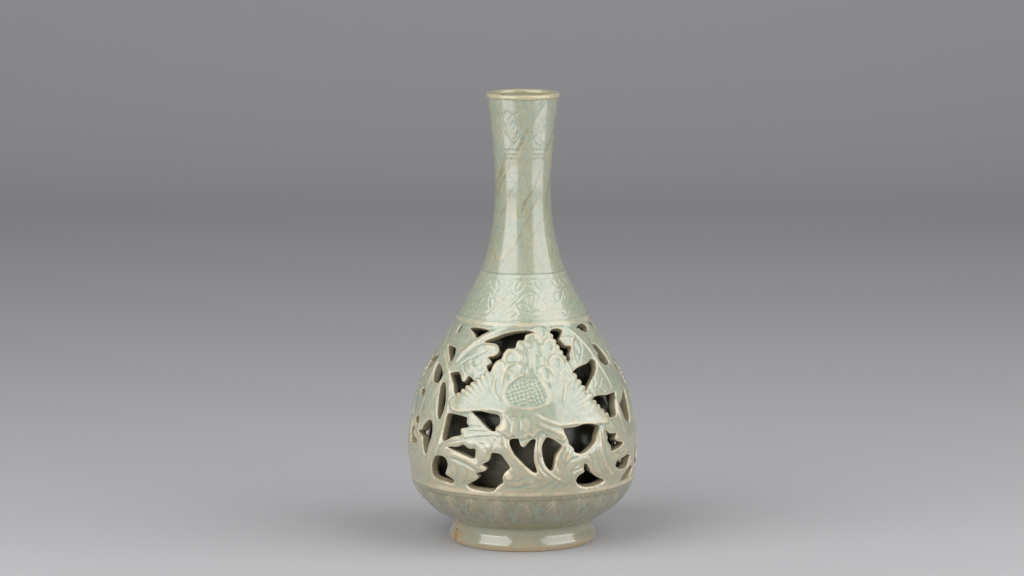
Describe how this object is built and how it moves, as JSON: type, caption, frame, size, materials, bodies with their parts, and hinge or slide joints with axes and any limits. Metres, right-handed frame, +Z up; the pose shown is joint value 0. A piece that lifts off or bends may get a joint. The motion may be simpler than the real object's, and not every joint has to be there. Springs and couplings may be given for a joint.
{
  "type": "openwork celadon bottle vase",
  "caption": "Double-walled celadon bottle vase: a plain inner vessel inside a pierced shell of blossoms and scrolling leaves, with a long neck and a foot ring.",
  "frame": {"origin": "middle of the foot ring's underside, on the surface that the vase stands on", "axes": "+Z up along the vase's turning axis, -Y towards the front blossom, +X to the right of a viewer who faces it"},
  "size_m": [0.1404, 0.1404, 0.27],
  "materials": {
    "pale_glaze": "glossy pale grey-green celadon glaze with fine crazing, thin and cream on ridges, blue-green where it pools",
    "olive_glaze": "glossy grey-olive celadon glaze, mottled",
    "cream_glaze": "thin cream glaze over the rolled lip",
    "shaded_glaze": "dark olive glaze, glossy",
    "bare_clay": "unglazed grey-brown stoneware clay"
  },
  "bodies": {
    "root": {"foot_ring": "olive_glaze", "lower_bowl": "olive_glaze", "openwork_wall": "pale_glaze", "shoulder": "pale_glaze", "neck": "pale_glaze", "mouth_lip": "cream_glaze", "inner_vessel": "shaded_glaze", "floor_coil": "bare_clay", "collar_coil": "bare_clay"}
  },
  "joints": []
}
